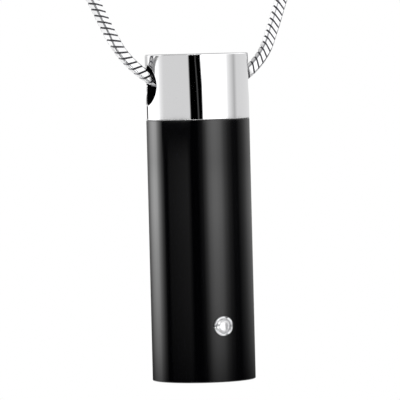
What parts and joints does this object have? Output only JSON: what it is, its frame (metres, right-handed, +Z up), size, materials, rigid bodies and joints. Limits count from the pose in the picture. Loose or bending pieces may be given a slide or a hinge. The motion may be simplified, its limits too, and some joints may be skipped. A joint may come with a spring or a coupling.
{
  "type": "keepsake urn pendant",
  "caption": "Small round tube for ashes with a black body and a bright screw cap, hung through its cap on a square snake chain with a lobster clasp.",
  "frame": {"origin": "middle of the clasp at the nape, where the necklace rests on the back of the neck", "axes": "+Z up; the pendant hangs below at -Y, its front faces -Y; +X to the right in a front view"},
  "size_m": [0.1214, 0.1164, 0.1809],
  "materials": {
    "chain_steel": "polished stainless steel, square snake chain",
    "fittings_steel": "polished stainless steel",
    "cap_steel": "mirror-polished stainless steel",
    "black_steel": "glossy black coat on polished stainless steel",
    "clear_stone": "clear cut crystal"
  },
  "bodies": {
    "necklace": {"snake_chain": "chain_steel", "end_cap_left": "fittings_steel", "end_cap_right": "fittings_steel", "jump_ring_left": "fittings_steel", "jump_ring_right": "fittings_steel", "clasp": "fittings_steel"},
    "cap": {"urn_cap": "cap_steel"},
    "tube": {"urn_tube": "black_steel", "stone_setting": "cap_steel", "stone": "clear_stone"}
  },
  "joints": [
    {"name": "pendant_swing", "type": "hinge", "parent": "necklace", "child": "cap", "pos_m": [0, -0.108, -0.1428], "axis": [1, 0, 0], "range_deg": [-40, 40]},
    {"name": "urn_unscrew", "type": "slide", "parent": "cap", "child": "tube", "axis": [0, 0, -1], "range_m": [0, 0.008]}
  ]
}
